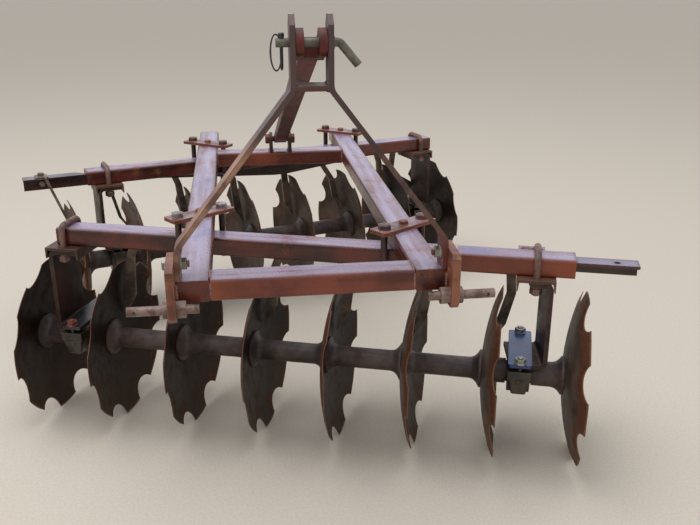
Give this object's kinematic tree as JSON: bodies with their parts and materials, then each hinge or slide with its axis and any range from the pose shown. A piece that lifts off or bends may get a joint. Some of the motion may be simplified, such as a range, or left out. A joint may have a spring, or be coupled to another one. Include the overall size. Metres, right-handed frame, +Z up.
{
  "type": "disc harrow",
  "caption": "Mounted offset disc harrow: two opposed gangs of notched discs on a welded tube frame with a three-point hitch mast.",
  "frame": {"origin": "centre of the bounding box, on the floor", "axes": "+X right and +Y rearwards as seen from the hitch end, +Z up; the harrow is drawn towards -Y"},
  "size_m": [1.8034, 2.1004, 1.2268],
  "materials": {
    "frame_paint": "worn dark red semi-gloss",
    "rusty_plate": "rusted plate",
    "strap_steel": "weathered bare flat bar",
    "pin_steel": "light rust",
    "top_pin_paint": "worn grey-green",
    "black_wire": "black",
    "ubolt_steel": "brown rust",
    "hanger_steel": "dark rust",
    "bearing_iron": "greasy and rusty",
    "black_plate": "black",
    "blue_paint": "blue, scuffed",
    "scraper_steel": "dark rust",
    "disc_steel": "dark worn steel with rusty rim",
    "spool_iron": "brown-grey"
  },
  "bodies": {
    "frame": {"left_rail": "frame_paint", "right_rail": "frame_paint", "front_cross_tube": "frame_paint", "rear_cross_tube": "frame_paint", "left_hitch_plate": "rusty_plate", "right_hitch_plate": "rusty_plate", "left_hitch_pin": "pin_steel", "right_hitch_pin": "pin_steel", "left_mast_strap": "strap_steel", "right_mast_strap": "strap_steel", "mast_spacer": "strap_steel", "top_link_pin": "top_pin_paint", "linchpin_ring": "black_wire", "rear_brace": "frame_paint", "brace_clevis": "frame_paint", "front_gang_beam": "frame_paint", "rear_gang_beam": "frame_paint", "rear_beam_stiffener": "frame_paint", "front_scraper_bar": "frame_paint", "rear_scraper_bar": "frame_paint", "front_beam_clamps": "rusty_plate", "rear_beam_clamps": "rusty_plate", "front_ubolts": "ubolt_steel", "rear_ubolts": "ubolt_steel", "front_saddles": "hanger_steel", "rear_saddles": "hanger_steel", "front_hangers": "hanger_steel", "rear_hangers": "hanger_steel", "front_bearings": "bearing_iron", "rear_bearings": "bearing_iron", "bearing_caps": "black_plate", "blue_bearing_cap": "blue_paint", "front_scrapers": "scraper_steel", "rear_scrapers": "scraper_steel"},
    "front_gang": {"front_axle": "spool_iron", "front_spools": "spool_iron", "front_discs": "disc_steel"},
    "rear_gang": {"rear_axle": "spool_iron", "rear_spools": "spool_iron", "rear_discs": "disc_steel"}
  },
  "joints": [
    {"name": "front_gang_spin", "type": "hinge", "parent": "frame", "child": "front_gang", "pos_m": [0.04433, -0.5586, 0.245], "axis": [0.9461, -0.3239, 0], "continuous": true},
    {"name": "rear_gang_spin", "type": "hinge", "parent": "frame", "child": "rear_gang", "pos_m": [0.03176, 0.58952, 0.245], "axis": [0.9524, 0.3049, 0], "continuous": true}
  ]
}
